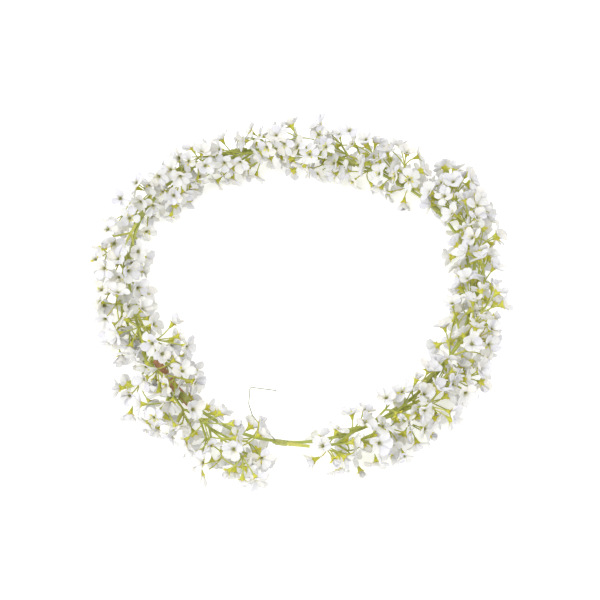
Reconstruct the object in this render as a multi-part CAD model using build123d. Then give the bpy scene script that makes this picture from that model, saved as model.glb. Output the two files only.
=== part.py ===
from build123d import *
import math
import os
import random

import numpy as np

# Flower crown: a ring of coated wire, closed by a taped overlap, with branching moulded sprigs
# bound to it one behind the other. Every sprig carries a spray of small five-petalled flowers.
# All sizes are in millimetres. The crown lies flat: +Z is up, z = 0 is what it rests on, and
# the origin is under the middle of the ring. Seen from above, the sprigs point anticlockwise.

# ---- Wire ring
RING_RADIUS = 95.0          # mean radius of the wire, for a head of about 570 mm round
RING_LOBES = ((1, 3.5, 137.0), (2, 3.0, 141.0), (3, 4.0, 15.0))  # lobes, height, direction: hand bent
WIRE_HEIGHT = 15.0          # middle of the wire above the table
CORE_RADIUS = 0.45
COATING_RADIUS = 0.85
STRAND_PITCH = 1.8          # between the middles of the two strands where the ends overlap
JOIN_ANGLE = 221.0          # middle of the taped overlap
JOIN_OVERLAP = 16.0         # degrees of ring that the two ends share
RING_TURN = 360.0 + JOIN_OVERLAP
RING_RUNS = 20              # bends of the wire, evenly spaced

# ---- Tape
JOIN_WRAP_SPAN = 20.0       # degrees of ring under the join's tape
JOIN_WRAP_RUNS = 3
TAPE_THICKNESS = 0.45
BINDING_START = 1.5         # from the stem's root to its tape
BINDING_LENGTH = 6.0

# ---- Sprigs: stems, flower stalks and flowers
STEM_RADIUS = 0.95
STEM_TAPER = 0.82           # each stem length against the one before it
BRANCH_RADIUS = 0.55
STALK_RADIUS = 0.35
NODE_SWELLING = 1.22        # knot against the stem that it ends
STEM_GAP = 0.4              # between a stem and the wire beside it
ROOT_LENGTH = 9.0
BRANCH_LENGTH = 9.0
BRANCH_ANGLE = 40.0
STALK_LENGTH = 9.5
STALK_SPREAD = 42.0
CALYX_LENGTH = 3.0
CALYX_FOOT_RADIUS = 0.6
CALYX_MOUTH_RADIUS = 1.4
PETALS_HEIGHT = 2.6
PETALS_FOOT_RADIUS = 1.5
PETALS_RADIUS = 3.7
FLOWER_REACH = CALYX_LENGTH + 0.6 * PETALS_HEIGHT   # stalk's end to the middle of the flower
ROD_GAP = 0.35              # between two stems that pass each other
BRANCH_FLOOR = 4.0          # lowest end of a side branch
BRANCH_TURNS = (15, 70, 130, 100, 40)               # side of the stem for each knot's first branch
ROD_INSET = 0.25            # from a knot's middle to the rods that leave it
FAN_SHARE = 0.88            # least volume of a joined stem or fan against the sum of its pieces
SPRIG_SHARE = 0.945
NUDGES = (
    (0, 0, 0), (0.03, 0.02, -0.02), (-0.02, 0.03, 0.03), (0.05, -0.04, 0.04), (-0.06, -0.05, -0.03),
    (0.09, 0.07, 0.05), (-0.09, 0.05, 0.08), (0.02, -0.11, -0.05), (-0.03, -0.08, 0.11), (0.12, 0.03, -0.09),
)
STALK_RUNS = 3
STALK_CURL = 0.35           # 0 for a straight stalk
STALK_RANGE = (5.5, 16.0)   # shortest and longest stalk
SPARE_TRIES = 60            # other places tried for a flower that finds no room
SPARE_ANGLE = 60.0
LEAST_LEAN = 0.5            # cosine of the widest angle between a stalk and its branch
RELAX_STEPS = 160
BAND_PULL = 0.3             # how firmly flowers are drawn to their places beside the wire
PETALS_BALL = 3.86          # from the middle of a flower to its furthest point
CALYX_MIDDLE_RADIUS = 1.1
STALK_BOW = 0.5             # most that a stalk bends away from its chord
FLOWER_ROOM = 7.85          # between the middles of two flowers
STALK_ROOM = 4.75           # between the middle of a flower and another flower's stalk
TABLE_ROOM = 3.9            # lowest middle of a flower
TABLE_REACH = 0.8           # petals this near the table rest on it
TOP_ROOM = 32.0             # highest middle of a flower

# One row a sprig: where its root is on the ring (degrees), on which side of the wire it lies
# (degrees, 0 outward, 90 on top), how far it drifts outward and upward (degrees), the lengths
# of stem between its knots, how far it spreads, and how far inside and outside the wire the
# middles of its flowers stay.
SPRIGS = (
    (261, 60, 6, 0, (12, 12, 12), 0.95, 4, 24),
    (281, 120, 10, 3, (11, 12, 10), 1.00, 2, 25),
    (300, 20, 8, -4, (11, 10, 10), 0.95, 2, 22),
    (317, 110, 6, 4, (12, 11, 10), 1.00, 11, 18),
    (337, 30, 4, -4, (11, 12, 10), 0.95, 9, 11),
    (357, 100, 14, 4, (11, 11, 10), 1.05, 5, 21),
    (14, 10, 22, -5, (10, 11, 10), 1.05, 5, 31),
    (31, 110, 6, 4, (10, 10, 10), 0.95, 8, 17),
    (48, 20, 6, -4, (11, 11, 10), 0.95, 9, 13),
    (68, 100, 0, 4, (11, 12, 10), 0.95, 12, 7),
    (88, 160, -3, 2, (11, 12, 10), 1.00, 13, 4),
    (109, 110, -3, 5, (12, 12, 11), 1.05, 15, 6),
    (130, 20, 4, -4, (12, 11, 11), 0.95, 5, 12),
    (150, 100, 10, 5, (11, 11, 11), 1.05, 6, 18),
    (167, 10, 8, -4, (11, 11, 10), 1.00, 8, 19),
    (184, 120, -2, 4, (10, 11, 10), 1.05, 17, 19),
    (198, 50, 12, 6, (12, 12, 12, 12), 1.20, 12, 28),
    (226, 60, 16, 6, (9, 9, 9, 9), 1.30, 10, 30),
)
BARE_ARC = (260.5, 272.5)    # between the last sprig's flowers and the first one's, where stems show
SEED = 11

# ---- Loose end of binding wire, from the last binding into the head opening
TAIL_RADIUS = 0.25
TAIL_SPRIG = 0              # the sprig whose tape holds the wire's other end
TAIL_ROUTE = (
    (-20.5, -86.0, 16.0), (-25.5, -80.5, 18.0), (-27.5, -75.0, 20.0), (-27.0, -66.5, 23.0), (-13.0, -69.0, 24.0),
)
TAIL_BEND = 1.2
TAIL_ASIDE = 0.8            # from the middle of the tape that it comes out of


def unit(v):
    return v / np.linalg.norm(v)


def strand_radius(turned):
    """Radius of the wire after it has turned some degrees from its first end: a slight spiral."""
    angle = JOIN_ANGLE - JOIN_OVERLAP / 2 + turned
    bend = sum(h * math.cos(n * math.radians(angle - d)) for n, h, d in RING_LOBES)
    return RING_RADIUS + bend + STRAND_PITCH * (turned - RING_TURN / 2) / 360


def beyond_wire(points):
    """How far points lie outside the ring of wire, and the outward directions there."""
    angles = np.arctan2(points[:, 1], points[:, 0])
    bends = sum(h * np.cos(n * (angles - math.radians(d))) for n, h, d in RING_LOBES)
    outward = np.column_stack([np.cos(angles), np.sin(angles), np.zeros(len(points))])
    return (points * outward).sum(1) - RING_RADIUS - bends, outward


def polar(radius, angle, height=WIRE_HEIGHT):
    turn = math.radians(angle)
    return np.array([radius * math.cos(turn), radius * math.sin(turn), height])


def ring_point(angle):
    turned = (angle - JOIN_ANGLE + JOIN_OVERLAP / 2) % 360
    return polar(strand_radius(turned), angle)


def ring_frame(angle):
    """The wire's middle, its direction anticlockwise, and the outward direction."""
    along = unit(ring_point(angle + 1) - ring_point(angle - 1))
    outward = np.array([along[1], -along[0], 0.0])
    return ring_point(angle), along, outward


UP = np.array([0.0, 0.0, 1.0])


# ---- Layout: every stem is a chain of straight lengths, every flower hangs on a bent stalk
def branch_aim(direction, turn, angle):
    """The direction that leaves a stem at an angle, turned about it from the outward side."""
    outward = unit(np.cross(direction, UP))
    over = np.cross(outward, direction)
    turn, angle = math.radians(turn), math.radians(angle)
    away = outward * math.cos(turn) + over * math.sin(turn)
    return unit(direction * math.cos(angle) + away * math.sin(angle))


def rod_distances(start, end, starts, ends):
    """Shortest distance from the rod start-end to each of the rods starts-ends."""
    u, v, w = end - start, ends - starts, start - starts
    uu, uv, vv = u @ u, v @ u, (v * v).sum(1)
    uw, vw = w @ u, (v * w).sum(1)
    area = uu * vv - uv * uv
    s = np.clip(np.where(area < 1e-9, 0.0, (uv * vw - vv * uw) / np.maximum(area, 1e-9)), 0, 1)
    t = np.clip((uv * s + vw) / vv, 0, 1)
    s = np.clip((uv * t - uw) / uu, 0, 1)
    return np.linalg.norm(w + s[:, None] * u - t[:, None] * v, axis=1)


class Rods:
    """Rods to keep clear of, each with a start, an end and a radius."""

    def __init__(self, rods):
        self.starts = np.array([rod[0] for rod in rods])
        self.ends = np.array([rod[1] for rod in rods])
        self.radii = np.array([rod[2] for rod in rods])

    def add(self, start, end, radius):
        self.starts = np.vstack([self.starts, start])
        self.ends = np.vstack([self.ends, end])
        self.radii = np.append(self.radii, radius)

    def clear_of(self, start, end, radius):
        """True if a rod keeps ROD_GAP from all these, those that meet at its start left out."""
        meets = np.linalg.norm(self.starts - start, axis=1) < 0.01
        meets |= np.linalg.norm(self.ends - start, axis=1) < 0.01
        gaps = rod_distances(start, end, self.starts, self.ends) - self.radii - radius
        return bool(np.all(meets | (gaps > ROD_GAP)))


class Sprig:
    """One moulded sprig: rods (start, end, start radius, end radius), knots and flower fans."""

    def __init__(self, number, row):
        self.number = number
        self.angle, self.side, self.drift, self.rise, self.lengths, self.spread, self.inside, self.outside = row
        self.rng = random.Random(SEED * 100 + number)
        self.rods = []
        self.knots = []
        self.fans = []
        self.stem = []
        self.grow_stem()

    def grow_stem(self):
        """Lays the main stem beside the wire, then lets it drift away from it."""
        middle, along, outward = ring_frame(self.angle)
        side = math.radians(self.side)
        beside = COATING_RADIUS + STEM_RADIUS + STEM_GAP
        start = middle + beside * (outward * math.cos(side) + UP * math.sin(side))
        point = start + along * ROOT_LENGTH
        radius = STEM_RADIUS
        self.rods.append((start, point, radius, radius))
        self.stem.append((point, along, radius))
        for length in self.lengths:
            here = math.degrees(math.atan2(point[1], point[0]))
            _, along, outward = ring_frame(here + 3)
            drift = math.radians(self.drift + self.rng.uniform(-4, 4))
            rise = math.radians(self.rise + self.rng.uniform(-3, 3))
            aim = unit(along + outward * math.tan(drift) + UP * math.tan(rise))
            end = point + aim * length
            self.rods.append((point, end, radius, radius * STEM_TAPER))
            self.knots.append((point, radius * NODE_SWELLING))
            point, radius = end, radius * STEM_TAPER
            self.stem.append((point, aim, radius))
        self.knots.append((point, radius * NODE_SWELLING))
        self.fans.append((point, aim, 4))

    def grow_branches(self, others):
        """Adds two side branches at each knot, each turned until it is clear of its neighbours."""
        last = len(self.stem) - 1
        for index, (knot, aim, radius) in enumerate(self.stem):
            first = BRANCH_TURNS[(index + self.number) % len(BRANCH_TURNS)] + self.rng.uniform(-15, 15)
            for turn in (first, first + 175):
                length = BRANCH_LENGTH * self.spread * self.rng.uniform(0.8, 1.15)
                angle = BRANCH_ANGLE + self.rng.uniform(-6, 8)
                for swing in (0, 25, -25, 50, -50, 75, -75):
                    way = branch_aim(aim, turn + swing, angle)
                    end = knot + way * length
                    if end[2] > BRANCH_FLOOR and others.clear_of(knot, end, BRANCH_RADIUS):
                        self.rods.append((knot, end, BRANCH_RADIUS * 1.15, BRANCH_RADIUS))
                        self.knots.append((end, BRANCH_RADIUS * NODE_SWELLING))
                        self.fans.append((end, way, 5 if index < last else 4))
                        others.add(knot, end, BRANCH_RADIUS)
                        break


def closest_on_rods(points, starts, ends):
    """For each point and each rod, the vector from the rod's nearest point and its length."""
    spans = ends - starts
    reach = points[:, None, :] - starts[None, :, :]
    t = (reach * spans).sum(2) / (spans * spans).sum(1)
    near = starts + np.clip(t, 0, 1)[:, :, None] * spans
    away = points[:, None, :] - near
    return away, np.linalg.norm(away, axis=2) + 1e-9


def relax(flowers, bases, aims, owners, rods):
    """Moves the flowers' middles apart, and clear of stems, stalks and the table."""
    inside = np.array([-sprig.inside for sprig in owners])
    outside = np.array([sprig.outside for sprig in owners])
    count = len(flowers)
    itself = np.eye(count, dtype=bool)
    rod_room = STALK_ROOM + rods.radii - STALK_RADIUS
    for _ in range(RELAX_STEPS):
        gap = flowers[:, None, :] - flowers[None, :, :]
        far = np.linalg.norm(gap, axis=2) + np.eye(count) * 1000
        push = (gap / far[:, :, None] * np.clip(FLOWER_ROOM * 1.02 - far, 0, None)[:, :, None]).sum(1) * 0.4
        heads = flowers - bases
        size = np.linalg.norm(heads, axis=1)[:, None]
        tips = flowers - heads / size * FLOWER_REACH
        away, far = closest_on_rods(flowers, bases, tips)
        short = np.where(itself, 0, np.clip(STALK_ROOM * 1.02 - far, 0, None))
        push += (away / far[:, :, None] * short[:, :, None]).sum(1) * 0.4
        away, far = closest_on_rods(flowers, rods.starts, rods.ends)
        short = np.clip(rod_room - far, 0, None)
        push += (away / far[:, :, None] * short[:, :, None]).sum(1) * 0.4
        flowers = flowers + push
        beyond, outward = beyond_wire(flowers)
        flowers += outward * (np.clip(beyond, inside, outside) - beyond)[:, None] * BAND_PULL
        heads = flowers - bases
        size = np.linalg.norm(heads, axis=1)[:, None]
        ways = heads / size
        lean = (ways * aims).sum(1)[:, None]
        ways = np.where(lean < LEAST_LEAN, ways + aims * (LEAST_LEAN - lean) * 0.5, ways)
        ways /= np.linalg.norm(ways, axis=1)[:, None]
        flowers = bases + ways * np.clip(size, STALK_RANGE[0] + FLOWER_REACH, STALK_RANGE[1] + FLOWER_REACH)
        flowers[:, 2] = np.maximum(flowers[:, 2], TABLE_ROOM)
        flowers[:, 2] = np.minimum(flowers[:, 2], TOP_ROOM)
    return flowers


class Flower:
    """A flower and the bent stalk that holds it."""

    def __init__(self, sprig, base, aim, middle):
        self.sprig, self.base = sprig, base
        self.settle(aim, middle)
        for _ in range(4):
            if self.lowest() < TABLE_REACH:
                self.settle(aim, self.middle - UP * self.lowest())

    def settle(self, aim, middle):
        """Bends the stalk so that the flower's middle comes close to the one given."""
        base = self.base
        chord = unit(middle - base)
        self.leave = unit(aim * STALK_CURL + chord * (1 - STALK_CURL))
        for _ in range(4):
            face = 2 * (chord @ self.leave) * chord - self.leave
            tip = middle - FLOWER_REACH * face
            chord = unit(tip - base)
        self.chord = chord
        self.length = float(np.linalg.norm(tip - base))
        self.tip = base + chord * self.length
        self.face = unit(2 * (chord @ self.leave) * chord - self.leave)
        self.mouth = self.tip + CALYX_LENGTH * self.face
        self.middle = self.tip + FLOWER_REACH * self.face

    def lowest(self):
        """Height of the lowest point of the petals."""
        slope = math.sqrt(max(0.0, 1 - self.face[2] ** 2))
        rim = self.mouth[2] + PETALS_HEIGHT * self.face[2] - PETALS_RADIUS * slope
        return min(rim, self.mouth[2] - PETALS_FOOT_RADIUS * slope)

    def in_gap(self):
        """True if it would fill the bare stretch of ring."""
        return BARE_ARC[0] < math.degrees(math.atan2(self.middle[1], self.middle[0])) % 360 < BARE_ARC[1]

    def in_band(self):
        """True if its middle is where the sprig's flowers are meant to be."""
        beyond = beyond_wire(self.middle[None])[0][0]
        return -self.sprig.inside < beyond < self.sprig.outside and self.middle[2] < TOP_ROOM

    def fits(self, rods, kept):
        """True if its stalk, calyx and petals keep clear of the rods and of the flowers in kept."""
        above = self.middle + UP * 0.01
        by_rod = PETALS_BALL + ROD_GAP / 2 + rods.radii
        if self.lowest() < -0.01 or self.in_gap():
            return False
        if not rods.clear_of(self.base, self.tip, STALK_RADIUS):
            return False
        if not rods.clear_of(self.tip, self.mouth, CALYX_MOUTH_RADIUS):
            return False
        if np.any(rod_distances(self.middle, above, rods.starts, rods.ends) < by_rod):
            return False
        if not kept:
            return True
        middles, bases, tips, mouths = (
            np.array([getattr(other, name) for other in kept]) for name in ("middle", "base", "tip", "mouth")
        )
        if np.any(np.linalg.norm(middles - self.middle, axis=1) < 2 * PETALS_BALL + 0.05):
            return False
        by_stalk = PETALS_BALL + STALK_RADIUS + STALK_BOW
        if np.any(rod_distances(self.middle, above, bases, tips) < by_stalk):
            return False
        if np.any(rod_distances(self.base, self.tip, middles, middles + UP * 0.01) < by_stalk):
            return False
        by_calyx = PETALS_BALL + CALYX_MIDDLE_RADIUS
        if np.any(rod_distances(self.middle, above, tips, mouths) < by_calyx):
            return False
        if np.any(rod_distances(self.tip, self.mouth, middles, middles + UP * 0.01) < by_calyx):
            return False
        apart = np.linalg.norm(bases - self.base, axis=1) > 0.01
        near = rod_distances(self.base, self.tip, bases, tips) < 2 * STALK_RADIUS + STALK_BOW
        near |= rod_distances(self.base, self.tip, tips, mouths) < STALK_RADIUS + CALYX_MOUTH_RADIUS
        near |= rod_distances(self.tip, self.mouth, bases, tips) < STALK_RADIUS + CALYX_MOUTH_RADIUS
        return not np.any(apart & near)


def lay_out():
    """Grows every sprig, then places every flower. Gives the sprigs and each sprig's flowers."""
    sprigs = [Sprig(number, row) for number, row in enumerate(SPRIGS)]
    stems = [rod[:3] for sprig in sprigs for rod in sprig.rods]
    rods = Rods(wire_rods() + binding_rods(sprigs) + tail_rods(sprigs) + stems)
    for sprig in sprigs:
        sprig.grow_branches(rods)
    middles, bases, aims, owners = [], [], [], []
    for sprig in sprigs:
        for knot, aim, count in sprig.fans:
            turn = sprig.rng.uniform(0, 360)
            for index in range(count):
                way = branch_aim(aim, turn + 360 * index / count, STALK_SPREAD * sprig.spread)
                length = STALK_LENGTH * sprig.rng.uniform(0.8, 1.25) + FLOWER_REACH
                middles.append(knot + way * length)
                bases.append(knot)
                aims.append(aim)
                owners.append(sprig)
    middles = relax(np.array(middles), np.array(bases), np.array(aims), owners, rods)
    kept, spare = [], []
    for sprig, base, aim, middle in zip(owners, bases, aims, middles):
        flower = Flower(sprig, base, aim, middle)
        if flower.fits(rods, kept):
            kept.append(flower)
        else:
            spare.append((sprig, base, aim))
    for sprig, base, aim in spare:
        for _ in range(SPARE_TRIES):
            way = branch_aim(aim, sprig.rng.uniform(0, 360), sprig.rng.uniform(5, SPARE_ANGLE))
            length = sprig.rng.uniform(*STALK_RANGE) + FLOWER_REACH
            flower = Flower(sprig, base, aim, base + way * length)
            if flower.in_band() and flower.fits(rods, kept):
                kept.append(flower)
                break
    return sprigs, kept


# ---- What the sprigs have to keep clear of, as rods (start, end, radius)
def wire_rods():
    points = [ring_point(angle) for angle in range(0, 361, 8)]
    rods = [(a, b, COATING_RADIUS) for a, b in zip(points, points[1:])]
    wrap = [ring_point(JOIN_ANGLE + JOIN_WRAP_SPAN * (k / 4 - 0.5)) for k in range(5)]
    thick = COATING_RADIUS + STRAND_PITCH / 2 + TAPE_THICKNESS
    return rods + [(a, b, thick) for a, b in zip(wrap, wrap[1:])]


def binding_rods(sprigs):
    rods = []
    for sprig in sprigs:
        start, along = sprig.rods[0][0], sprig.stem[0][1]
        middle = (start + ring_point(sprig.angle)) / 2
        near = middle + along * BINDING_START
        thick = (COATING_RADIUS + STEM_RADIUS + STEM_GAP) / 2 + STEM_RADIUS + TAPE_THICKNESS
        rods.append((near, near + along * BINDING_LENGTH, thick))
    return rods


def tail_points(sprigs):
    """Route of the loose wire: out of a sprig's tape, back along the ring, then inward."""
    sprig = sprigs[TAIL_SPRIG]
    start, along = sprig.rods[0][0], sprig.stem[0][1]
    wire = ring_point(sprig.angle)
    beside = np.cross(unit(start - wire), along)
    outlet = (start + wire) / 2 + along * BINDING_START + beside * TAIL_ASIDE
    return [outlet] + [np.array(p) for p in TAIL_ROUTE]


def tail_rods(sprigs):
    points = tail_points(sprigs)
    return [(a, b, TAIL_RADIUS) for a, b in zip(points, points[1:])]


# ---- Solids
def plane_at(point, direction, sideways=None):
    x_dir = None if sideways is None else tuple(sideways)
    return Plane(origin=tuple(point), x_dir=x_dir, z_dir=tuple(direction))


def rod_solid(start, end, first, last):
    length = float(np.linalg.norm(end - start))
    place = plane_at(start, unit(end - start))
    if abs(first - last) < 1e-6:
        return Solid.make_cylinder(first, length, place)
    return Solid.make_cone(first, last, length, place)


def stalk_points(flower):
    """Points of the arc from inside the branch's knot to the flower's foot."""
    turn = 2 * math.acos(min(1.0, float(flower.leave @ flower.chord)))
    if turn < math.radians(6):
        return [flower.base + flower.chord * ROD_INSET, flower.tip]
    bend_radius = flower.length / (2 * math.sin(turn / 2))
    axis = unit(np.cross(flower.leave, flower.chord))
    middle = flower.base + np.cross(axis, flower.leave) * bend_radius
    spoke = flower.base - middle
    points = []
    for k in range(STALK_RUNS + 1):
        part = turn * k / STALK_RUNS
        points.append(middle + spoke * math.cos(part) + np.cross(axis, spoke) * math.sin(part))
    points[0] = points[0] + unit(points[1] - points[0]) * ROD_INSET
    return points


def stalk_solid(flower):
    points = stalk_points(flower)
    if len(points) == 2:
        return rod_solid(points[0], points[1], STALK_RADIUS, STALK_RADIUS)
    path = Polyline(*[tuple(p) for p in points])
    section = plane_at(points[0], unit(points[1] - points[0])) * Circle(STALK_RADIUS)
    return sweep(section, path=path, transition=Transition.RIGHT).solid()


def union(pieces, least_share):
    """One solid from pieces that run into each other.

    Joining them all at once is quick. Where that isn't sound they are joined one by one, and a
    piece whose surfaces meet the others' too closely is moved by a few hundredths of a millimetre.
    """
    whole = sound_union(pieces, least_share)
    if whole is not None:
        return whole
    whole = pieces[0]
    for piece in pieces[1:]:
        for nudge in NUDGES:
            joined = sound_union([whole, piece.moved(Location(nudge))], least_share)
            if joined is not None:
                break
        if joined is None:
            raise ValueError("two pieces of a sprig can't be joined")
        whole = joined
    return whole


def sound_union(pieces, least_share):
    """The pieces' union, or None if it isn't one valid solid of the right volume."""
    solids = pieces[0].fuse(*pieces[1:]).solids()
    if len(solids) != 1 or not solids[0].is_valid:
        return None
    total = sum(piece.volume for piece in pieces)
    return solids[0] if least_share * total < solids[0].volume < total else None


def fan_solids(rod, knot, flowers):
    """The ball of the knot at the rod's end, its pole on the rod's axis, and the stalks that leave it."""
    middle, radius = knot
    ball = Solid.make_sphere(radius, plane_at(middle, unit(rod[1] - rod[0])))
    own = [flower for flower in flowers if np.linalg.norm(flower.base - middle) < 0.01]
    return [ball] + [stalk_solid(flower) for flower in own]


def inset(rod):
    """The rod, started a little inside the knot that it leaves."""
    start, end, first, last = rod
    return start + unit(end - start) * ROD_INSET, end, first, last


def sprig_stem(sprig, flowers):
    """The whole moulded sprig as one solid: stem, branches, knots and flower stalks."""
    lengths = len(sprig.lengths) + 1
    stem = []
    for index, (rod, knot) in enumerate(zip(sprig.rods[:lengths], sprig.knots[:lengths])):
        stem.append(rod_solid(*(inset(rod) if index else rod)))
        stem += fan_solids(rod, knot, flowers)
    parts = [union(stem, FAN_SHARE)]
    for rod, knot in zip(sprig.rods[lengths:], sprig.knots[lengths:]):
        parts.append(union([rod_solid(*inset(rod))] + fan_solids(rod, knot, flowers), FAN_SHARE))
    return union(parts, SPRIG_SHARE)


def calyx_solid(flower):
    place = plane_at(flower.tip, flower.face)
    return Solid.make_cone(CALYX_FOOT_RADIUS, CALYX_MOUTH_RADIUS, CALYX_LENGTH, place)


def petals_solid(flower):
    place = plane_at(flower.mouth, flower.face)
    return Solid.make_cone(PETALS_FOOT_RADIUS, PETALS_RADIUS, PETALS_HEIGHT, place)


def bend_radii(points, share):
    """The largest arc for each corner of a route that leaves part of its runs straight."""
    radii = []
    for a, b, c in zip(points, points[1:], points[2:]):
        half_turn = Vector(*(b - a)).get_angle(Vector(*(c - b))) / 2
        run = min(np.linalg.norm(b - a), np.linalg.norm(c - b))
        radii.append(share * run / math.tan(math.radians(half_turn)))
    return radii


def wire_path():
    step = RING_TURN / RING_RUNS
    first = JOIN_ANGLE - JOIN_OVERLAP / 2
    corner = 1 / math.cos(math.radians(step / 2))
    corners = [polar(strand_radius(k * step) * corner, first + k * step) for k in range(RING_RUNS + 1)]
    return FilletPolyline(*[tuple(p) for p in corners], radius=bend_radii(corners, 0.45))


def along_path(face, path):
    return sweep(plane_at(path @ 0, path % 0) * face, path=path)


def join_wrap(strands):
    """Tape round the two strands where the wire's ends overlap."""
    angles = [JOIN_ANGLE + JOIN_WRAP_SPAN * (k / JOIN_WRAP_RUNS - 0.5) for k in range(JOIN_WRAP_RUNS + 1)]
    corner = 1 / math.cos(math.radians(JOIN_WRAP_SPAN / JOIN_WRAP_RUNS / 2))
    inner = [strand_radius(angle - JOIN_ANGLE + JOIN_OVERLAP / 2) for angle in angles]
    route = [polar((r + STRAND_PITCH / 2) * corner, angle) for r, angle in zip(inner, angles)]
    path = FilletPolyline(*[tuple(p) for p in route], radius=bend_radii(route, 0.45))
    outward = tuple(polar(1, angles[0], 0))
    section = Plane(origin=path @ 0, x_dir=outward, z_dir=path % 0) * SlotCenterToCenter(
        STRAND_PITCH, 2 * (COATING_RADIUS + TAPE_THICKNESS)
    )
    return (sweep(section, path=path) - strands).solid()


def binding(sprig, strands):
    """Tape round the wire and the root of one sprig."""
    start, along = sprig.rods[0][0], sprig.stem[0][1]
    wire = ring_point(sprig.angle)
    middle = (start + wire) / 2 + along * BINDING_START
    place = plane_at(middle, along, unit(start - wire))
    profile = SlotCenterToCenter(float(np.linalg.norm(start - wire)), 2 * (STEM_RADIUS + TAPE_THICKNESS))
    sleeve = extrude(place * profile, BINDING_LENGTH)
    return (sleeve - strands - rod_solid(*sprig.rods[0])).solid()


def write(name, solids):
    shape = solids[0] if len(solids) == 1 else Compound(children=list(solids))
    shape.label = name
    export_step(shape, f"parts/{name}.step")


def main():
    os.makedirs("parts", exist_ok=True)
    sprigs, flowers = lay_out()
    path = wire_path()
    core = along_path(Circle(CORE_RADIUS), path)
    strands = along_path(Circle(COATING_RADIUS), path)
    write("wire_core", [core.solid()])
    write("wire_coating", [along_path(Circle(COATING_RADIUS) - Circle(CORE_RADIUS), path).solid()])
    write("join_wrap", [join_wrap(strands)])
    write("sprig_bindings", [binding(sprig, strands) for sprig in sprigs])
    tail = tail_points(sprigs)
    tail_path = FilletPolyline(*[tuple(p) for p in tail], radius=TAIL_BEND)
    write("tie_wire_tail", [along_path(Circle(TAIL_RADIUS), tail_path).solid()])
    for sprig in sprigs:
        own = [flower for flower in flowers if flower.sprig is sprig]
        name = f"sprig_{sprig.number + 1:02d}"
        write(f"{name}_stem", [sprig_stem(sprig, own)])
        write(f"{name}_calyxes", [calyx_solid(flower) for flower in own])
        write(f"{name}_petals", [petals_solid(flower) for flower in own])


main()
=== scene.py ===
import math

import bpy
import numpy as np
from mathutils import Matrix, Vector


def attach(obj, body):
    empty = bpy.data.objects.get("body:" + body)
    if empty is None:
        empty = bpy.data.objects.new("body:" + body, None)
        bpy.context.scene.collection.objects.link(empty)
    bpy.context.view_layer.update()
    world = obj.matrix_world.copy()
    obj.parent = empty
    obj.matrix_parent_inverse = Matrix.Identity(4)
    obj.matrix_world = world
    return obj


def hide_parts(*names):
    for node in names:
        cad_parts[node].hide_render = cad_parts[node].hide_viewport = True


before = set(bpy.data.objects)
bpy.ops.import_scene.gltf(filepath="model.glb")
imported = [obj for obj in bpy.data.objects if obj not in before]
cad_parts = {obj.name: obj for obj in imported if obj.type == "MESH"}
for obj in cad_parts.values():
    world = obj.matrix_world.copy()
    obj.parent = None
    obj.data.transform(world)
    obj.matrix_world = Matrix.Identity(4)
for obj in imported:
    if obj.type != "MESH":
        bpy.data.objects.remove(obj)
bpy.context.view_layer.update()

MM = 0.001
SPRIGS = [name[:-7] for name in sorted(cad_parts) if name.endswith("_petals")]
WELD = 2e-7  # corners nearer than this are one corner

# Petals
PETALS = 5
PETAL_LENGTH = 6.3 * MM
PETAL_HALF_WIDTH = 2.8 * MM
PETAL_FOOT = 0.75 * MM  # a petal's narrow end stands this far from the flower's axis
PETAL_THICKNESS = 0.16 * MM
PETAL_ROWS = 10
PETAL_COLUMNS = 6
BUD_SHARE = 0.06  # of the flowers are hardly open
BUD_OPENNESS = (0.02, 0.22)  # 0 is shut and 1 is wide open
BUD_SIZE = (0.6, 0.75)
FLOWER_OPENNESS = (0.9, 0.17)  # its middle and its spread
LEAST_OPENNESS = 0.3
FLOWER_SIZE = (0.92, 1.06)
PETAL_TRIES = 7  # shapes tried for each petal, the one with most room is kept
CROWD_CELL = 6.0 * MM  # petals further apart than this don't meet
ENOUGH_ROOM = 2.0 * MM  # more room than this between two petals counts no more
FLOOR_ROOM = 0.5 * MM  # petals lower than this lie on the table
FIRST_SEED = 500

# Calyxes
CALYX_FOOT = 0.62 * MM
CALYX_MOUTH = 1.38 * MM
CALYX_WALL = 0.28 * MM
SEPALS = 5
SEPAL_LENGTH = 2.1 * MM
SEPAL_HALF_WIDTH = 0.82 * MM
SEPAL_TIP = 0.07 * MM
SEPAL_THICKNESS = 0.22 * MM
SEPAL_ROWS = 7
SEPAL_COLUMNS = 4
SEPAL_INSET = 0.25 * MM  # from the funnel's rim inwards
PEG_RADIUS = 0.42 * MM
CALYX_AROUND = 20
PEG_AROUND = 14

# Camera, where the photograph's view is taken from
CAMERA_PLACE = (-0.0008, -0.3076, 0.5316)
CAMERA_TARGET = (-0.0008, -0.0076, 0.012)
CAMERA_LENS = 64.4
CAMERA_SENSOR = 36.0
FLOOR_HALF_SIZE = 3.0


# ---------------------------------------------------------------- the CAD model's flowers


def solids_of(node):
    """The corners of each separate solid of a CAD node, one array for each."""
    mesh = node.data
    corners = np.empty(len(mesh.vertices) * 3, np.float32)
    mesh.vertices.foreach_get("co", corners)
    corners = corners.reshape(-1, 3).astype(float)
    mesh.calc_loop_triangles()
    triangles = np.empty(len(mesh.loop_triangles) * 3, np.int32)
    mesh.loop_triangles.foreach_get("vertices", triangles)
    welded, index = np.unique(np.round(corners / WELD), axis=0, return_inverse=True)
    triangles = index.reshape(-1)[triangles].reshape(-1, 3)
    label = np.arange(len(welded))
    while True:
        lowest = label[triangles].min(axis=1)
        spread = label.copy()
        for column in range(3):
            np.minimum.at(spread, triangles[:, column], lowest)
        if np.array_equal(spread, label):
            break
        label = spread
    points = welded * WELD
    return [points[label == value] for value in np.unique(label)]


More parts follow.
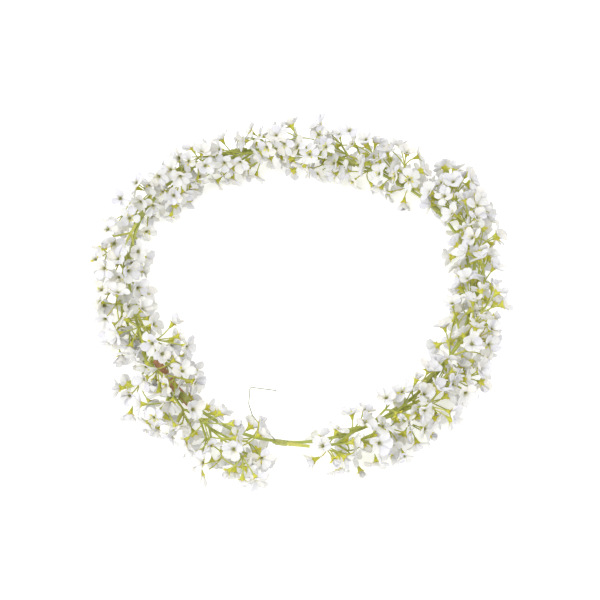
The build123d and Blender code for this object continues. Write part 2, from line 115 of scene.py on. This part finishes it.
def flowers_of(sprig):
    """(foot, mouth, axis) of each flower: where its calyx and its petals start, and which way it faces."""
    petals = solids_of(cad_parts[f"{sprig}_petals"])
    middles = np.array([p.mean(axis=0) for p in petals])
    found = []
    for calyx in solids_of(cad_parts[f"{sprig}_calyxes"]):
        centre = calyx.mean(axis=0)
        partner = middles[np.argmin(np.linalg.norm(middles - centre, axis=1))]
        axis = partner - centre
        axis /= np.linalg.norm(axis)
        along = (calyx - centre) @ axis
        found.append((centre + axis * along.min(), centre + axis * along.max(), axis))
    return sorted(found, key=lambda f: tuple(np.round(f[0], 5)))


def axes_of(direction):
    """Three unit directions, the last of them the given one."""
    up = np.array([0.0, 0.0, 1.0])
    side = np.cross(up, direction)
    if np.linalg.norm(side) < 0.05:
        side = np.array([1.0, 0.0, 0.0])
    side = side - direction * (side @ direction)
    side /= np.linalg.norm(side)
    return np.array([side, np.cross(direction, side), direction])


def turned_axes(turn):
    """Rows that turn points about Z."""
    return np.array([[math.cos(turn), math.sin(turn), 0], [-math.sin(turn), math.cos(turn), 0], [0, 0, 1]])


# ---------------------------------------------------------------- mesh building


class Builder:
    """Gathers points, faces and a colour for each point, and makes one mesh piece of them."""

    def __init__(self):
        self.points = []
        self.faces = []
        self.marks = []
        self.count = 0

    def add(self, points, faces, marks):
        self.points.append(points)
        self.faces.extend([[corner + self.count for corner in face] for face in faces])
        self.marks.append(marks)
        self.count += len(points)

    def piece(self, name, material, body="root"):
        mesh = bpy.data.meshes.new(name)
        mesh.from_pydata(np.concatenate(self.points).tolist(), [], self.faces)
        marks = np.concatenate(self.marks)
        colours = np.column_stack([marks, np.ones(len(marks))]).astype(np.float32)
        attribute = mesh.attributes.new("marks", "FLOAT_COLOR", "POINT")
        attribute.data.foreach_set("color", colours.ravel())
        mesh.materials.append(material)
        mesh.shade_smooth()
        made = bpy.data.objects.new(name, mesh)
        bpy.context.scene.collection.objects.link(made)
        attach(made, body)
        return made


def sheet_faces(rows, columns):
    """Faces of a thin closed sheet: its front points come first, row by row, and then its back ones."""
    width = columns + 1
    back = (rows + 1) * width
    faces = []
    for row in range(rows):
        for column in range(columns):
            a = row * width + column
            b, c, d = a + 1, a + width + 1, a + width
            faces.append([a, b, c, d])
            faces.append([back + a, back + d, back + c, back + b])
    rim = list(range(columns))
    rim += [row * width + columns for row in range(rows)]
    rim += [rows * width + column for column in range(columns, 0, -1)]
    rim += [row * width for row in range(rows, 0, -1)]
    for here, after in zip(rim, rim[1:] + rim[:1]):
        faces.append([after, here, back + here, back + after])
    return faces


def lathe_faces(rings, around):
    """Faces of a surface of revolution that is closed by a point at each end."""
    faces = [[0, 1 + (k + 1) % around, 1 + k] for k in range(around)]
    for ring in range(rings - 1):
        low = 1 + ring * around
        high = low + around
        for k in range(around):
            after = (k + 1) % around
            faces.append([low + k, low + after, high + after, high + k])
    last = 1 + (rings - 1) * around
    faces += [[last + k, last + (k + 1) % around, last + around] for k in range(around)]
    return faces


def thickened(front, thickness):
    """Front and back points of a sheet, given its middle surface as rows of points."""
    down_rows = np.gradient(front, axis=0)
    along_rows = np.gradient(front, axis=1)
    normal = np.cross(down_rows, along_rows)
    normal /= np.maximum(np.linalg.norm(normal, axis=2, keepdims=True), 1e-12)
    shift = normal * thickness / 2
    return np.concatenate([(front + shift).reshape(-1, 3), (front - shift).reshape(-1, 3)])


# ---------------------------------------------------------------- petals


STEPS = 0.985 * (1 - np.cos(np.pi * np.arange(PETAL_ROWS + 1) / PETAL_ROWS)) / 2
SIDES = np.sin(np.pi / 2 * np.linspace(-1, 1, PETAL_COLUMNS + 1) * 0.94) / math.sin(np.pi / 2 * 0.94)


def outline(step):
    """A petal's width along its length, as a share of its full width: a claw and a broad round end."""
    widest = 0.63
    claw = 0.2 + 0.8 * np.sin(np.pi / 2 * np.clip(step / widest, 0, 1)) ** 1.5
    end = np.sqrt(np.clip(1 - ((step - widest) / (1 - widest)) ** 2, 0, 1))
    return np.where(step < widest, claw, end)


def petal_surface(rng, openness, size):
    """A petal's middle surface. It leaves the flower's axis along X, and the flower faces along Z."""
    lift = rng.normal(0.42, 0.2) + 1.1 * (1 - openness)
    curl = rng.normal(0.55, 0.35) * openness + 0.1
    cup = rng.normal(0.34, 0.2)
    twist = rng.normal(0.0, 0.28)
    sway = rng.normal(0.0, 0.14)
    wave = rng.uniform(0.04, 0.17)
    turns = rng.uniform(0, 2 * np.pi)
    length = PETAL_LENGTH * size * rng.uniform(0.9, 1.08)
    half_width = PETAL_HALF_WIDTH * size * rng.uniform(0.82, 1.06)
    slope = lift - curl * STEPS**1.3
    gaps = np.diff(STEPS)
    run = np.concatenate([[0], np.cumsum((np.cos(slope)[1:] + np.cos(slope)[:-1]) / 2 * gaps)])
    rise = np.concatenate([[0], np.cumsum((np.sin(slope)[1:] + np.sin(slope)[:-1]) / 2 * gaps)])
    line = np.column_stack([PETAL_FOOT + length * run, length * sway * STEPS**2, length * rise])
    normal = np.column_stack([-np.sin(slope), np.zeros(len(slope)), np.cos(slope)])
    turn = twist * STEPS
    across = np.outer(np.cos(turn), [0, 1, 0]) + normal * np.sin(turn)[:, None]
    upright = normal * np.cos(turn)[:, None] - np.outer(np.sin(turn), [0, 1, 0])
    half = half_width * outline(STEPS)
    sides = SIDES[None, :, None]
    surface = line[:, None] + across[:, None] * half[:, None, None] * sides
    ripple = wave * np.sin(7 * SIDES[None, :] + 5 * STEPS[:, None] + turns) * STEPS[:, None] ** 2
    crease = 0.06 * np.exp(-(SIDES[None, :] / 0.22) ** 2)
    bend = cup * (SIDES[None, :] ** 2 - 0.33) + ripple - crease
    surface += upright[:, None] * (half[:, None] * bend)[:, :, None]
    notch = 0.05 * length * np.exp(-(SIDES[None, :] / 0.3) ** 2) * STEPS[:, None] ** 6
    surface[:, :, 0] -= notch * np.cos(slope)[:, None]
    surface[:, :, 2] -= notch * np.sin(slope)[:, None]
    return surface


def above_floor(points):
    """Points lower than FLOOR_ROOM are eased up, so that a petal that meets the table lies on it."""
    height = points[..., 2]
    low = height < FLOOR_ROOM
    eased = FLOOR_ROOM * (0.45 + 0.55 * np.exp((height - FLOOR_ROOM) / (4 * FLOOR_ROOM)))
    points[..., 2] = np.where(low, eased, height)
    return points


class Crowd:
    """The places already taken by petals and calyxes, so that a new petal can lean away from them."""

    def __init__(self):
        self.cells = {}

    def key(self, point):
        return tuple(np.floor(point / CROWD_CELL).astype(int))

    def add(self, points, owner):
        for point in points:
            self.cells.setdefault(self.key(point), []).append((*point, owner))

    def near(self, point, owner):
        x, y, z = self.key(point)
        found = []
        for dx in (-1, 0, 1):
            for dy in (-1, 0, 1):
                for dz in (-1, 0, 1):
                    found += self.cells.get((x + dx, y + dy, z + dz), [])
        found = np.array(found).reshape(-1, 4)
        return found[found[:, 3] != owner][:, :3]


def room_round(samples, others):
    """How far the sample points keep from the others, the tightest places counting most."""
    if not len(others):
        return 1.0
    gaps = np.linalg.norm(samples[:, None] - others[None], axis=2).min(axis=1)
    return float(np.minimum(gaps, ENOUGH_ROOM).sum() + 3 * gaps.min())


def petals_piece(sprig, flowers, rng, crowd, first_owner, material):
    """The piece with every petal of a sprig, each in the shape that leaves most room round it."""
    builder = Builder()
    faces = sheet_faces(PETAL_ROWS, PETAL_COLUMNS)
    lengthwise = np.repeat(STEPS, PETAL_COLUMNS + 1)
    sidewise = np.tile(SIDES, PETAL_ROWS + 1) / 2 + 0.5
    for number, (foot, mouth, axis) in enumerate(flowers):
        owner = first_owner + number
        base = axes_of(axis)
        start = rng.uniform(0, 2 * np.pi)
        if rng.uniform() < BUD_SHARE:
            openness = rng.uniform(*BUD_OPENNESS)
            size = rng.uniform(*BUD_SIZE)
        else:
            openness = float(np.clip(rng.normal(*FLOWER_OPENNESS), LEAST_OPENNESS, 1.0))
            size = rng.uniform(*FLOWER_SIZE)
        for petal in range(PETALS):
            angle = start + (petal + rng.normal(0, 0.05)) * 2 * np.pi / PETALS
            tint = rng.uniform(0, 1)
            best, best_room = None, -1.0
            for _ in range(PETAL_TRIES):
                spun = petal_surface(rng, openness, size) @ turned_axes(angle + rng.normal(0, 0.06))
                placed = above_floor(mouth + spun @ base)
                samples = placed[4::2, ::2].reshape(-1, 3)
                others = crowd.near(samples[len(samples) // 2], owner)
                room = room_round(samples, others)
                if room > best_room:
                    best, best_room = placed, room
            crowd.add(best[3::2, ::2].reshape(-1, 3), owner)
            points = thickened(best, PETAL_THICKNESS)
            marks = np.column_stack([lengthwise, np.full(len(lengthwise), tint), sidewise])
            builder.add(points, faces, np.concatenate([marks, marks]))
    made = builder.piece(f"{sprig}_blossom_petals", material)
    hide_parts(f"{sprig}_petals")


# ---------------------------------------------------------------- calyxes


def calyx_profile(length):
    """Radius and height pairs of the funnel: up the outside, over the rim and down to its floor."""
    outer = [
        (CALYX_FOOT * 0.62, 0.0),
        (CALYX_FOOT, 0.05 * length),
        (CALYX_FOOT * 1.12, 0.18 * length),
        (CALYX_FOOT * 1.3, 0.38 * length),
        (CALYX_MOUTH * 0.8, 0.68 * length),
        (CALYX_MOUTH * 0.94, 0.88 * length),
        (CALYX_MOUTH, 1.0 * length),
    ]
    inner = [
        (CALYX_MOUTH - CALYX_WALL, 1.02 * length),
        (CALYX_MOUTH - CALYX_WALL * 1.6, 0.86 * length),
        (CALYX_MOUTH * 0.5, 0.74 * length),
    ]
    return outer + inner


def circle(radius, turns, height):
    """Points at those turns round the axis, at one height."""
    level = np.full(len(turns), height)
    return np.column_stack([radius * np.cos(turns), radius * np.sin(turns), level]).tolist()


def calyx_points(length):
    """The funnel's points, ribbed below each sepal."""
    turns = 2 * np.pi * np.arange(CALYX_AROUND) / CALYX_AROUND
    profile = calyx_profile(length)
    points = [[0.0, 0.0, 0.0]]
    for place, (radius, height) in enumerate(profile):
        rib = 0.07 * (0.5 - 0.5 * math.cos(2 * np.pi * min(place / 6, 1)))
        ring = radius * (1 + rib * np.cos(SEPALS * turns))
        points += circle(ring, turns, height)
    points.append([0.0, 0.0, 0.72 * length])
    return np.array(points), lathe_faces(len(profile), CALYX_AROUND)


def sepal_surface(length, rng):
    """A pointed sepal that leaves the funnel's rim along X and spreads outwards."""
    steps = np.linspace(0, 1, SEPAL_ROWS + 1)
    sides = np.linspace(-1, 1, SEPAL_COLUMNS + 1)
    lean = rng.normal(0.95, 0.12)
    slope = lean - rng.uniform(0.5, 1.0) * steps
    gaps = np.diff(steps)
    run = np.concatenate([[0], np.cumsum(np.cos(slope)[1:] * gaps)])
    rise = np.concatenate([[0], np.cumsum(np.sin(slope)[1:] * gaps)])
    size = SEPAL_LENGTH * rng.uniform(0.85, 1.1)
    half = SEPAL_HALF_WIDTH * (1 - steps**1.5) ** 0.8 + SEPAL_TIP
    surface = np.zeros((len(steps), len(sides), 3))
    surface[:, :, 0] = (CALYX_MOUTH - SEPAL_INSET + size * run)[:, None]
    surface[:, :, 1] = half[:, None] * sides[None, :]
    keel = 0.22 * half[:, None] * np.abs(sides[None, :]) ** 1.5
    surface[:, :, 2] = (0.86 * length + size * rise)[:, None] + keel
    return surface


def peg_points(length):
    """The round-headed peg in the flower's middle that holds its petals."""
    profile = [(0.9, 0.70), (0.9, 1.02), (1.25, 1.08), (1.35, 1.16), (1.0, 1.24), (0.5, 1.28)]
    turns = 2 * np.pi * np.arange(PEG_AROUND) / PEG_AROUND
    points = [[0.0, 0.0, profile[0][1] * length]]
    for radius, height in profile:
        ring = radius * PEG_RADIUS
        points += circle(ring, turns, height * length)
    points.append([0.0, 0.0, 1.29 * length])
    return np.array(points), lathe_faces(len(profile), PEG_AROUND)


def calyxes_piece(sprig, flowers, rng, material):
    """The piece with every calyx of a sprig: a funnel, five sepals and the peg inside."""
    builder = Builder()
    sepal_faces = sheet_faces(SEPAL_ROWS, SEPAL_COLUMNS)
    grade = np.repeat(0.6 + 0.4 * np.linspace(0, 1, SEPAL_ROWS + 1), SEPAL_COLUMNS + 1)
    for foot, mouth, axis in flowers:
        base = axes_of(axis)
        length = float(np.linalg.norm(mouth - foot))
        start = rng.uniform(0, 2 * np.pi)
        tint = rng.uniform(0, 1)
        spin = turned_axes(start)
        points, faces = calyx_points(length)
        height = points[:, 2] / length
        marks = np.column_stack([height * 0.6, np.full(len(points), tint), np.zeros(len(points))])
        builder.add(foot + points @ spin @ base, faces, marks)
        for sepal in range(SEPALS):
            turned = sepal_surface(length, rng) @ turned_axes(sepal * 2 * np.pi / SEPALS)
            placed = above_floor(foot + turned @ spin @ base)
            sheet = thickened(placed, SEPAL_THICKNESS)
            marks = np.column_stack([grade, np.full(len(grade), tint), np.zeros(len(grade))])
            builder.add(sheet, sepal_faces, np.concatenate([marks, marks]))
        points, faces = peg_points(length)
        marks = np.column_stack([np.ones(len(points)), np.full(len(points), tint), np.ones(len(points))])
        builder.add(foot + points @ spin @ base, faces, marks)
    made = builder.piece(f"{sprig}_star_calyxes", material)
    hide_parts(f"{sprig}_calyxes")


# ---------------------------------------------------------------- materials


class Shader:
    """A node material built round one Principled shader."""

    def __init__(self, name):
        self.material = bpy.data.materials.new(name)
        self.material.use_nodes = True
        self.nodes = self.material.node_tree.nodes
        self.links = self.material.node_tree.links
        self.principled = self.nodes["Principled BSDF"]

    def node(self, kind, **settings):
        made = self.nodes.new(kind)
        for name, value in settings.items():
            setattr(made, name, value)
        return made

    def link(self, source, target):
        self.links.new(source, target)

    def noise(self, scale, detail=4.0, roughness=0.55, stretch=(1, 1, 1)):
        """A noise value in the object's own coordinates."""
        place = self.node("ShaderNodeTexCoord")
        mapping = self.node("ShaderNodeMapping")
        mapping.inputs["Scale"].default_value = stretch
        noise = self.node("ShaderNodeTexNoise")
        noise.inputs["Scale"].default_value = scale
        noise.inputs["Detail"].default_value = detail
        noise.inputs["Roughness"].default_value = roughness
        self.link(place.outputs["Object"], mapping.inputs["Vector"])
        self.link(mapping.outputs["Vector"], noise.inputs["Vector"])
        return noise.outputs["Fac"]

    def marks(self):
        """The three values stored on the piece's points."""
        attribute = self.node("ShaderNodeAttribute", attribute_name="marks")
        split = self.node("ShaderNodeSeparateColor")
        self.link(attribute.outputs["Color"], split.inputs["Color"])
        return split.outputs["Red"], split.outputs["Green"], split.outputs["Blue"]

    def ramp(self, value, stops):
        """A colour ramp over value; stops are (place, colour) pairs."""
        ramp = self.node("ShaderNodeValToRGB")
        elements = ramp.color_ramp.elements
        while len(elements) < len(stops):
            elements.new(0.5)
        for element, (place, colour) in zip(elements, stops):
            element.position = place
            element.color = (*colour, 1.0)
        self.link(value, ramp.inputs["Fac"])
        return ramp.outputs["Color"]

    def mix(self, share, first, second):
        """A share of a plain second colour mixed into the first one."""
        mix = self.node("ShaderNodeMix", data_type="RGBA")
        mix.inputs[7].default_value = (*second, 1.0)
        self.link(first, mix.inputs[6])
        self.link(share, mix.inputs[0])
        return mix.outputs[2]

    def multiply(self, first, second):
        """Two colours multiplied."""
        mix = self.node("ShaderNodeMix", data_type="RGBA", blend_type="MULTIPLY")
        mix.inputs[0].default_value = 1.0
        self.link(first, mix.inputs[6])
        self.link(second, mix.inputs[7])
        return mix.outputs[2]

    def math(self, operation, first, second):
        """One arithmetic step on values or sockets."""
        made = self.node("ShaderNodeMath", operation=operation)
        for value, target in ((first, made.inputs[0]), (second, made.inputs[1])):
            if isinstance(value, (int, float)):
                target.default_value = value
            else:
                self.link(value, target)
        return made.outputs[0]

    def bump(self, height, strength, distance):
        bump = self.node("ShaderNodeBump")
        bump.inputs["Strength"].default_value = strength
        bump.inputs["Distance"].default_value = distance
        self.link(height, bump.inputs["Height"])
        self.link(bump.outputs["Normal"], self.principled.inputs["Normal"])


def petal_material():
    s = Shader("petal fabric")
    lengthwise, tint, sidewise = s.marks()
    whites = [
        (0.0, (0.70, 0.69, 0.76)),
        (0.35, (0.77, 0.765, 0.79)),
        (0.7, (0.80, 0.795, 0.775)),
        (1.0, (0.81, 0.78, 0.71)),
    ]
    cast = s.ramp(tint, whites)
    greens = [
        (0.0, (0.72, 0.74, 0.42)),
        (0.1, (0.88, 0.88, 0.74)),
        (0.26, (1.0, 1.0, 1.0)),
    ]
    throat = s.ramp(lengthwise, greens)
    mottle = s.ramp(s.noise(900, 3.0), [(0.35, (0.93, 0.93, 0.94)), (0.65, (1.0, 1.0, 1.0))])
    colour = s.multiply(s.multiply(cast, throat), mottle)
    s.link(colour, s.principled.inputs["Base Color"])
    veins = s.math("MULTIPLY", s.math("SINE", s.math("MULTIPLY", sidewise, 62.0), 0.0), 0.35)
    weave = s.noise(5200, 2.0)
    s.bump(s.math("ADD", veins, weave), 0.35, 0.00012)
    s.principled.inputs["Roughness"].default_value = 0.72
    s.principled.inputs["Specular IOR Level"].default_value = 0.25
    s.principled.inputs["Subsurface Weight"].default_value = 0.55
    s.principled.inputs["Subsurface Radius"].default_value = (0.9, 0.9, 0.85)
    s.principled.inputs["Subsurface Scale"].default_value = 0.0012
    s.principled.inputs["Sheen Weight"].default_value = 0.15
    return s.material


def calyx_material():
    s = Shader("calyx plastic")
    grade, tint, middle = s.marks()
    yellows = [
        (0.0, (0.46, 0.49, 0.06)),
        (0.5, (0.66, 0.64, 0.05)),
        (0.8, (0.80, 0.73, 0.05)),
        (1.0, (0.70, 0.67, 0.07)),
    ]
    green = s.ramp(grade, yellows)
    shade = s.mix(s.math("MULTIPLY", tint, 0.4), green, (0.52, 0.55, 0.09))
    centre = s.mix(middle, shade, (0.30, 0.31, 0.08))
    mottle = s.ramp(s.noise(700, 4.0), [(0.3, (0.8, 0.8, 0.76)), (0.7, (1.0, 1.0, 1.0))])
    s.link(s.multiply(centre, mottle), s.principled.inputs["Base Color"])
    s.bump(s.noise(2600, 3.0), 0.25, 0.0001)
    s.principled.inputs["Roughness"].default_value = 0.46
    s.principled.inputs["Subsurface Weight"].default_value = 0.12
    s.principled.inputs["Subsurface Scale"].default_value = 0.0008
    return s.material


def stem_material():
    s = Shader("stem plastic")
    patches = s.noise(70, 3.0)
    olives = [
        (0.3, (0.33, 0.37, 0.06)),
        (0.48, (0.46, 0.50, 0.09)),
        (0.62, (0.58, 0.58, 0.12)),
        (0.78, (0.50, 0.40, 0.12)),
    ]
    green = s.ramp(patches, olives)
    fine = s.ramp(s.noise(900, 5.0), [(0.3, (0.78, 0.78, 0.72)), (0.7, (1.0, 1.0, 1.0))])
    s.link(s.multiply(green, fine), s.principled.inputs["Base Color"])
    s.bump(s.noise(1600, 4.0), 0.35, 0.0002)
    s.principled.inputs["Roughness"].default_value = 0.5
    s.principled.inputs["Subsurface Weight"].default_value = 0.08
    s.principled.inputs["Subsurface Scale"].default_value = 0.0008
    return s.material


def tape_material(name, dark, middle, pale):
    s = Shader(name)
    crepe = s.noise(420, 4.0, stretch=(1, 1, 3))
    colour = s.ramp(crepe, [(0.3, dark), (0.5, middle), (0.72, pale)])
    s.link(colour, s.principled.inputs["Base Color"])
    s.bump(s.noise(1900, 4.0), 0.6, 0.0003)
    s.principled.inputs["Roughness"].default_value = 0.78
    return s.material


def coating_material():
    s = Shader("wire coating")
    green = s.ramp(s.noise(160, 4.0), [(0.3, (0.31, 0.36, 0.07)), (0.7, (0.44, 0.47, 0.11))])
    s.link(green, s.principled.inputs["Base Color"])
    s.bump(s.noise(1300, 4.0), 0.3, 0.0002)
    s.principled.inputs["Roughness"].default_value = 0.42
    return s.material


def tail_material():
    s = Shader("tie wire lacquer")
    grey = s.ramp(s.noise(500, 3.0), [(0.3, (0.16, 0.18, 0.09)), (0.7, (0.30, 0.32, 0.18))])
    s.link(grey, s.principled.inputs["Base Color"])
    s.principled.inputs["Roughness"].default_value = 0.4
    s.principled.inputs["Metallic"].default_value = 0.2
    return s.material


def steel_material():
    s = Shader("wire steel")
    grey = s.ramp(s.noise(300, 3.0), [(0.3, (0.38, 0.38, 0.38)), (0.7, (0.58, 0.58, 0.57))])
    s.link(grey, s.principled.inputs["Base Color"])
    s.principled.inputs["Metallic"].default_value = 1.0
    s.principled.inputs["Roughness"].default_value = 0.38
    return s.material


def carry(node_name, material):
    """Gives a CAD node that is shown as it is its finish."""
    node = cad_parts[node_name]
    node.data.materials.clear()
    node.data.materials.append(material)


# ---------------------------------------------------------------- the crown

petal = petal_material()
calyx = calyx_material()
stem = stem_material()
tape = tape_material("floral tape", (0.24, 0.27, 0.06), (0.36, 0.38, 0.10), (0.48, 0.47, 0.18))
join_tape = tape_material("join tape", (0.30, 0.15, 0.08), (0.46, 0.24, 0.13), (0.58, 0.36, 0.24))

crowd = Crowd()
gardens = [flowers_of(sprig) for sprig in SPRIGS]
owner = 0
for flowers in gardens:
    for foot, mouth, axis in flowers:
        crowd.add([foot, (foot + mouth) / 2, mouth], owner)
        owner += 1
owner = 0
for number, (sprig, flowers) in enumerate(zip(SPRIGS, gardens)):
    rng = np.random.default_rng(FIRST_SEED + number)
    petals_piece(sprig, flowers, rng, crowd, owner, petal)
    calyxes_piece(sprig, flowers, rng, calyx)
    carry(f"{sprig}_stem", stem)
    owner += len(flowers)
carry("join_wrap", join_tape)
carry("sprig_bindings", tape)
carry("wire_coating", coating_material())
carry("wire_core", steel_material())
carry("tie_wire_tail", tail_material())

# ---------------------------------------------------------------- floor, light and camera


def stage_floor():
    """A plain white table, a little bright of itself so that shadows on it stay faint."""
    mesh = bpy.data.meshes.new("floor")
    size = FLOOR_HALF_SIZE
    corners = [(-size, -size, 0), (size, -size, 0), (size, size, 0), (-size, size, 0)]
    mesh.from_pydata(corners, [], [[0, 1, 2, 3]])
    s = Shader("floor paper")
    s.principled.inputs["Base Color"].default_value = (0.93, 0.93, 0.93, 1.0)
    s.principled.inputs["Roughness"].default_value = 0.9
    s.principled.inputs["Specular IOR Level"].default_value = 0.1
    s.principled.inputs["Emission Color"].default_value = (1.0, 1.0, 1.0, 1.0)
    s.principled.inputs["Emission Strength"].default_value = 0.36
    mesh.materials.append(s.material)
    floor = bpy.data.objects.new("floor", mesh)
    bpy.context.scene.collection.objects.link(floor)


def area_light(name, place, size, power, target=(0, 0, 0)):
    light = bpy.data.lights.new(name, "AREA")
    light.shape = "DISK"
    light.size = size
    light.energy = power
    lamp = bpy.data.objects.new(name, light)
    lamp.location = place
    lamp.rotation_mode = "QUATERNION"
    lamp.rotation_quaternion = (Vector(target) - Vector(place)).to_track_quat("-Z", "Y")
    bpy.context.scene.collection.objects.link(lamp)


def soft_world(strength):
    world = bpy.data.worlds.new("studio")
    world.use_nodes = True
    background = world.node_tree.nodes["Background"]
    background.inputs["Color"].default_value = (1.0, 1.0, 1.0, 1.0)
    background.inputs["Strength"].default_value = strength
    bpy.context.scene.world = world


def photo_camera():
    data = bpy.data.cameras.new("camera")
    data.sensor_width = CAMERA_SENSOR
    data.lens = CAMERA_LENS
    camera = bpy.data.objects.new("camera", data)
    camera.location = CAMERA_PLACE
    camera.rotation_mode = "QUATERNION"
    camera.rotation_quaternion = (Vector(CAMERA_TARGET) - Vector(CAMERA_PLACE)).to_track_quat("-Z", "Y")
    bpy.context.scene.collection.objects.link(camera)
    bpy.context.scene.camera = camera


stage_floor()
soft_world(0.97)
area_light("key", (-0.45, -0.3, 0.9), 0.5, 4.5)
area_light("fill", (0.8, 0.3, 0.9), 0.9, 1.2)
photo_camera()
bpy.context.scene.view_settings.view_transform = "Standard"
